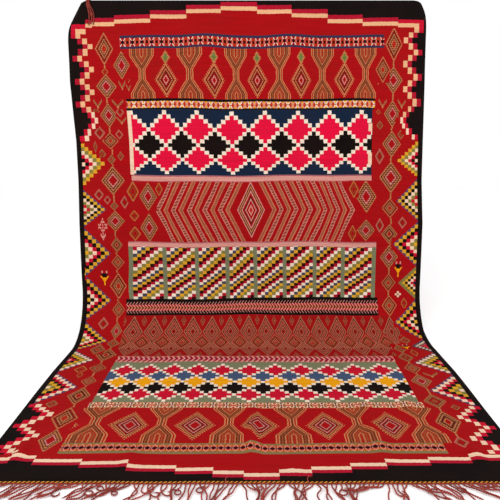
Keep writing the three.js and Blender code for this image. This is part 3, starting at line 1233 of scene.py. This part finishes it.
# The central bands
paint("widePanel", -556, 566, 471, 777,
      marks(-151.2, 151.2, -540, -387, -238, -80, 72, 224, 369, 514),
      [(491, 0), (567, 72), (639, 144), (705, 216), (763, 288)])
paint("creamBlock", -556, -537, 482, 777, plain, plain)
paint("creamBlock", 548, 566, 541, 577, plain, plain)
paint("creamBlock", 546, 563, 674, 732, plain, plain)
glassMarks = marks(0, 100, -484, -376, -266, -155, -56, 40, 141, 240, 337, 438, 532)
paint("glassRow", -548, 596, 206, 430, glassMarks, [(206, -114), (320, 0), (432, 112)])
paint("crossBand", -576, 617, 148, 208, [(-566, 0), (-15, 562.5), (610, 1260)], [(148, -30), (208, 30)])
paint("starBand", -560, 576, 430, 478, [(-527, 0), (529, 1056)], [(430, -24.5), (478, 23.5)])
paint("pinkBand", -550, 563, 777, 805, measured, [(777, -14), (805, 14)])
leftChevrons = marks(-434, 36, -440, -400, -368, -330, -292, -255, -220, -180, -148, -110)
rightChevrons = marks(110, 36, 110, 145, 178, 215, 248, 282, 320, 352, 380, 412, 440, 478)
paint("chevrons", -458, 505, 805, 1087, leftChevrons + plain + rightChevrons,
      [(805, -130), (937, 0), (1087, 150)])
paint("pinkBand", -580, 585, 1087, 1114, measured, [(1087, -14), (1114, 14)])
checkStarts = marks(0, 150, -563, -404, -252, -107, 24, 162, 304, 438, 586)
checkEnds = marks(-19.8, 150, -583, -423, -270, -127, 6, 145, 288, 420, 565)
paint("checks", -583, 586, 1114, 1363, sorted(checkStarts + checkEnds),
      [(1114, 0), (1240, 128), (1304, 208), (1363, 272)])
paint("twill", -594, 590, 1363, 1441, measured, [(1363, -39), (1441, 39)])
dropMarks = marks(0, 88, -552, -458, -365, -278, -190, -105, -20, 58, 138, 222, 305, 390, 470, 555, 635)
paint("drops", -598, 604, 1441, 1743, dropMarks, [(1441, -91), (1532, 0), (1743, 211)])
paint("drops", 600, 676, 1441, 1614, dropMarks, [(1441, -91), (1532, 0), (1743, 211)])
paint("tickBand", -574, 590, 1743, 1806, measured, [(1743, -31.5), (1806, 31.5)])
paint("lowPanel", -578, 586, 1806, 2157,
      marks(0, 103.2, -518, -420, -324, -225, -128, -18, 86, 190, 300, 403, 511),
      [(1806, -26), (1832, 0), (1888, 54), (1941, 108), (1990, 162), (2043, 216), (2097, 270), (2145, 324)])
paint("railBand", -579, 599, 2157, 2197, measured, [(2157, -20), (2197, 20)])
lowMarks = marks(0, 100, -528, -407, -307, -194, -82, 14, 127, 235, 341, 449, 558)
paint("glassRowLow", -596, 622, 2197, 2421, lowMarks, [(2197, -114), (2421, 114)])
paint("dotBand", -594, 583, 2421, 2479, measured, [(2410, -33), (2479, 33)])

# The side columns: a stem, its nested diamonds, and small figures beside them
# Each figure: pattern, order, middle x and s, half its width and half its height
leftFigures = [
    ("chain", 1, -650, 205, 40, 72), ("rings", 1, -650, 308, 15, 18), ("chain", 0, -647, 374, 45, 56),
    ("chain", 0, -643, 505, 38, 55), ("chain", 1, -641, 622, 37, 38), ("chain", 2, -640, 708, 18, 22),
    ("chain", 0, -638, 804, 53, 66), ("chain", 2, -638, 922, 20, 20), ("chain", 0, -637, 992, 43, 48),
    ("chain", 2, -636, 1103, 27, 36), ("chain", 1, -635, 1185, 30, 36), ("chain", 1, -635, 1298, 43, 62),
    ("chain", 1, -633, 1412, 30, 42), ("chain", 0, -630, 1527, 26, 52), ("chain", 2, -630, 1612, 30, 34),
    ("chain", 2, -632, 1732, 44, 68), ("chain", 1, -631, 1865, 34, 44), ("chain", 1, -634, 1985, 30, 42),
    ("chain", 2, -637, 2104, 42, 66), ("chain", 1, -638, 2265, 44, 74), ("chain", 0, -637, 2404, 38, 66),
    ("chain", 0, -575, 278, 36, 62), ("rings", 0, -688, 585, 24, 30), ("rings", 0, -600, 592, 17, 22),
    ("rings", 2, -682, 683, 18, 24), ("rings", 2, -598, 692, 14, 22), ("rings", 2, -700, 488, 15, 22),
    ("rings", 0, -592, 488, 17, 24), ("rings", 0, -706, 868, 22, 26), ("rings", 0, -668, 893, 16, 20),
    ("rings", 0, -590, 905, 19, 30), ("rings", 1, -550, 855, 28, 48), ("chain", 0, -480, 876, 41, 66),
    ("chain", 0, -480, 1022, 41, 66), ("rings", 1, -428, 840, 17, 32), ("rings", 1, -548, 968, 22, 26),
    ("rings", 1, -548, 1051, 27, 34), ("rings", 0, -697, 1487, 24, 34), ("chain", 2, -684, 1672, 33, 54),
    ("rings", 1, -695, 1880, 26, 34), ("rings", 1, -683, 1932, 13, 24), ("rings", 2, -714, 2165, 22, 26),
    ("vee", 0, -577, 366, 16, 24), ("vee", 0, -548, 376, 12, 18), ("vee", 0, -690, 452, 22, 24),
    ("vee", 0, -600, 452, 26, 22), ("arrow", 0, -697, 1030, 24, 52), ("vee", 0, -586, 528, 22, 18),
    ("sprout", 0, -702, 1262, 25, 36), ("rings", 2, -712, 648, 10, 26),
]
rightFigures = [
    ("chain", 1, 661, 190, 38, 74), ("chain", 0, 660, 346, 42, 60), ("chain", 0, 657, 495, 38, 60),
    ("chain", 0, 655, 632, 42, 60), ("chain", 0, 652, 785, 53, 72), ("chain", 1, 650, 928, 38, 46),
    ("chain", 2, 648, 1050, 38, 46), ("chain", 0, 648, 1160, 42, 58), ("chain", 1, 646, 1290, 33, 46),
    ("chain", 1, 645, 1398, 35, 46), ("chain", 2, 640, 1668, 26, 46), ("rings", 2, 640, 1760, 32, 48),
    ("chain", 1, 640, 1868, 33, 52), ("chain", 0, 643, 1985, 40, 60), ("rings", 2, 645, 2150, 40, 52),
    ("chain", 2, 645, 2295, 42, 72), ("rings", 0, 645, 2418, 22, 32), ("chain", 1, 612, 300, 33, 57),
    ("vee", 0, 612, 450, 20, 22), ("vee", 0, 700, 450, 20, 22), ("rings", 2, 600, 548, 16, 20),
    ("rings", 0, 600, 690, 20, 36), ("rings", 1, 592, 488, 10, 12), ("chain", 0, 538, 876, 48, 74),
    ("chain", 0, 538, 1032, 42, 50), ("rings", 1, 480, 842, 22, 40), ("rings", 1, 475, 1046, 20, 39),
    ("rings", 0, 603, 1010, 19, 34), ("rings", 0, 710, 995, 20, 28), ("sprout", 0, 692, 1222, 22, 40),
    ("flower", 0, 690, 1348, 18, 18), ("rings", 1, 716, 1390, 16, 24), ("rings", 2, 683, 1590, 24, 26),
    ("sprout", 0, 672, 1648, 22, 24), ("rings", 1, 690, 1712, 17, 36), ("vee", 0, 697, 1930, 30, 24),
    ("rings", 2, 703, 2195, 16, 20), ("rings", 2, 697, 588, 16, 22),
]
stems = [  # x, top, bottom
    (-650, 140, 620), (-638, 620, 1200), (-636, 1200, 1720), (-632, 1720, 2440),
    (660, 140, 560), (652, 560, 1130), (647, 1130, 1440), (641, 1614, 2000), (645, 2000, 2430),
]
for x, top, bottom in stems:
    paint("stem", x - 14, x + 14, top, bottom, [(x, 0), (x + 100, 100)], measured)
for name, order, x, s, halfX, halfS in leftFigures + rightFigures:
    paint(name, x - halfX, x + halfX, s - halfS, s + halfS,
          [(x - halfX, -100), (x + halfX, 100)], [(s - halfS, -100), (s + halfS, 100)], order)

selvedgeWidth = 19
selvedgeParts = 26
halfDiamonds = [  # apex x and s, where it starts and ends, pattern and order
    (-673, 726, 622, 830, "trianglesA", 0), (-684, 937, 848, 1014, "trianglesA", 1),
    (-676, 1143, 1030, 1246, "trianglesA", 2), (-680, 1368, 1262, 1462, "trianglesA", 3),
    (-668, 1592, 1484, 1670, "trianglesA", 2), (-678, 1785, 1694, 1895, "trianglesB", 0),
    (-672, 2034, 1918, 2156, "trianglesB", 1), (684, 707, 612, 782, "trianglesA", 0),
    (688, 893, 795, 980, "trianglesA", 1), (675, 1098, 995, 1200, "trianglesA", 2),
    (700, 1293, 1210, 1368, "trianglesB", 3), (668, 1477, 1380, 1584, "trianglesA", 3),
    (706, 1638, 1588, 1704, "trianglesB", 2), (670, 1815, 1716, 1922, "trianglesB", 0),
    (663, 2065, 1940, 2182, "trianglesB", 1),
]
stepBox = {"parts": 5, "margin": 9, "beyond": 8, "short": 14}
for apex, middle, top, bottom, name, order in halfDiamonds:
    side = -1 if apex < 0 else 1
    outer = float(sideAt(middle, side)) * side - selvedgeWidth * side
    pairs = sorted([(outer, 0), (apex, 120)])
    tall = [(top, -93), (middle, 0), (bottom, 93)]
    parts = stepBox["parts"]  # boxes that narrow towards the apex leave the figures beside it alone
    for k in range(parts):
        reach = outer + (apex - outer) * (k + 1) / parts - side * (stepBox["short"] if k == parts - 1 else 0)
        high = middle - (middle - top) * (1 - k / parts) - stepBox["margin"]
        low = middle + (bottom - middle) * (1 - k / parts) + stepBox["margin"]
        high = max(high, top - stepBox["beyond"])
        low = min(low, bottom + stepBox["beyond"])
        paint(name, *sorted([outer, reach]), high, low, pairs, tall, order)

# Stepped teeth down the sides: top, bottom, and where the crimson block starts
leftTeeth = [
    (160, 185, -770), (185, 208, -746), (208, 236, -770), (236, 262, -797), (262, 286, -767),
    (286, 310, -744), (310, 338, -766), (338, 364, -792), (364, 388, -768), (388, 412, -747),
    (412, 440, -770), (440, 466, -794), (466, 490, -767), (490, 516, -740), (516, 542, -726),
    (542, 568, -740), (568, 596, -762), (596, 620, -783),
    (2168, 2190, -789), (2190, 2210, -768), (2210, 2226, -750), (2226, 2255, -729), (2255, 2277, -750),
    (2277, 2302, -770), (2302, 2325, -789), (2325, 2345, -768), (2345, 2364, -748), (2364, 2386, -727),
    (2386, 2409, -748), (2409, 2431, -768), (2431, 2452, -788), (2452, 2474, -768), (2474, 2486, -750),
]
rightTeeth = [
    (138, 163, 767), (163, 187, 744), (187, 212, 767), (212, 238, 791), (238, 261, 765), (261, 289, 743),
    (289, 320, 764), (320, 347, 791), (347, 373, 765), (373, 399, 744), (399, 430, 765), (430, 462, 788),
    (462, 486, 757), (486, 512, 734), (512, 538, 721), (538, 563, 730), (563, 588, 748), (588, 612, 776),
    (2184, 2206, 788), (2206, 2230, 767), (2230, 2252, 746), (2252, 2276, 725), (2276, 2294, 743),
    (2294, 2318, 765), (2318, 2340, 787), (2340, 2360, 765), (2360, 2382, 743), (2382, 2408, 720),
    (2408, 2432, 743), (2432, 2460, 767), (2460, 2484, 745),
]
upperTeeth = 490  # s down to which the teeth are in the duller inks
for top, bottom, start in leftTeeth:
    narrow = 1.3 if 490 <= top < 590 else 1.0
    name = "sideBarHigh" if top < upperTeeth else "sideBar"
    barAt(name, leftmost, start + 50, top, bottom, start, 0, narrow)
for top, bottom, start in rightTeeth:
    narrow = 1.6 if 460 <= top < 600 else 1.15
    name = "sideBarHigh" if top < upperTeeth else "sideBar"
    barAt(name, start - 50, rightmost, top, bottom, start, 0, -narrow)

# Selvedges beside the half diamonds, and the stepped borders of both ends
for side, top, bottom in ((-1, 620, 2168), (1, 612, 2184)):
    for k in range(selvedgeParts):
        high = top + (bottom - top) * k / selvedgeParts
        low = top + (bottom - top) * (k + 1) / selvedgeParts
        edge = float(sideAt((high + low) / 2, side)) - selvedgeWidth
        left, right = (leftmost, -edge) if side < 0 else (edge, rightmost)
        paint("selvedge", left, right, high, low, plain, plain)
topSteps = [-730, -700, -600, -436, -273, -117, 45, 200, 362, 521, 679]
topLevels = [77, 70, 60, 42, 20, 8, 20, 37, 60, 74]
for left, right, level in zip(topSteps, topSteps[1:], topLevels):
    barAt("endBar", left, right, backEdge, level + 46, left, level)
paint("cornerBar", leftmost, -730, backEdge, 160, [(-796, 0), (-696, 100)], [(98, 0), (198, 100)])
paint("cornerBar", 679, rightmost, backEdge, 138, [(695, 100), (795, 0)],
      [(83, 0), (98, 20), (115, 42), (140, 70)])
lowSteps = [leftmost, -720, -645, -507, -367, -225, -117, -29, 72, 165, 280, 385, 515, 640, rightmost]
lowLevels = [2500, 2490, 2508, 2521, 2539, 2552, 2568, 2579, 2561, 2546, 2530, 2511, 2498, 2485]
for left, right, level in zip(lowSteps, lowSteps[1:], lowLevels):
    barAt("endBarLow", left, right, level - 8, shape["end"], left, level)


def yarnMaterial(name, colour, second):
    graph = Graph(name)
    coordinates = Wire(graph, graph.add("TexCoord").outputs["Object"])
    blotch = graph.noise(coordinates, 38.0, 2.0)[0]
    hair = graph.noise(coordinates, 900.0, 1.0)[0]
    tone = Wire(graph, graph.add("Attribute", {"attribute_name": "tone"}).outputs["Fac"])
    mixed = graph.mix(blotch, ink(colour), ink(second))
    tinted = graph.shaded(mixed, (0.40 + 0.40 * hair) * tone + 0.08)
    return graph.surfaced(tinted, 0.92, 0.05, graph.bumped(hair, 0.4, 0.0006))


cloth = buildCloth(weave)
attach(cloth, "root")
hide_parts("woven_panel")
print("cloth done")

edgingYarns = [
    yarnMaterial("edging_gold", "honey", "gold"),
    yarnMaterial("edging_dark", "dark", "brown"),
    yarnMaterial("edging_red", "scarlet", "fringe"),
]
frontEdgingS = shape["end"] + edging["frontSeam"] + shape["band"] / 2
topEdgingS = backEdge - edging["topSeam"] - shape["band"] / 2
frontStrands = frontFringe(yarnMaterial("fringe_yarn", "fringe", "faded"))
frontEdging = twinedEdging("front_edging", frontEdgingS, edging["frontOff"], edgingYarns)
topStrands = topFringe(yarnMaterial("top_fringe_yarn", "fringe", "faded"))
topEdging = twinedEdging("top_edging", topEdgingS, edging["topOff"], edgingYarns)
for piece, node, slot in (
    (frontStrands, "front_fringe", "fringe_wool"),
    (frontEdging, "front_fringe", "fringe_wool"),
    (topStrands, "top_fringe", "top_fringe_wool"),
    (topEdging, "top_fringe", "top_fringe_wool"),
):
    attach(piece, "root")
    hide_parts(node)
print("fringes done")

studio = {
    "floor": 14,  # metres across
    "floorY": -1.0,
    "under": 0.0006,  # gap below the lowest cloth
    "camera": (0.032, -2.7465, -0.541),
    "tilt": 77.5,
    "lens": 41.06,
    "film": 36,
    "shift": -0.008,
}
bpy.ops.mesh.primitive_plane_add(size=studio["floor"], location=(0, 0, 0))
floor = bpy.context.object
floor.name = "studio_floor"
floorHeight = -shape["height"] / 1000 - studio["under"]
floor.data.transform(Matrix.Translation((0, studio["floorY"], floorHeight)))
floor.data.materials.append(Graph("pale_floor").surfaced((0.985, 0.985, 0.985, 1), 0.7, 0.2))

world = bpy.data.worlds.new("studio")
bpy.context.scene.world = world
world.use_nodes = True
world.node_tree.nodes["Background"].inputs["Color"].default_value = (1, 1, 1, 1)
world.node_tree.nodes["Background"].inputs["Strength"].default_value = 1.0


def areaLight(name, spot, turn, size, power):
    light = bpy.data.lights.new(name, "AREA")
    light.shape = "RECTANGLE"
    light.size, light.size_y = size
    light.energy = power
    lamp = bpy.data.objects.new(name, light)
    lamp.location = spot
    lamp.rotation_euler = [math.radians(angle) for angle in turn]
    bpy.context.scene.collection.objects.link(lamp)


areaLight("key", (-1.6, -3.2, 1.9), (52, 0, -26), (2.4, 2.0), 60)
areaLight("fill", (2.4, -2.8, 1.2), (58, 0, 40), (2.0, 2.0), 24)

camera = bpy.data.objects.new("camera", bpy.data.cameras.new("camera"))
bpy.context.scene.collection.objects.link(camera)
camera.location = studio["camera"]
camera.rotation_euler = (math.radians(studio["tilt"]), 0, 0)
camera.data.lens = studio["lens"]
camera.data.sensor_width = studio["film"]
camera.data.shift_x = studio["shift"]
bpy.context.scene.camera = camera
bpy.context.scene.view_settings.view_transform = "Standard"
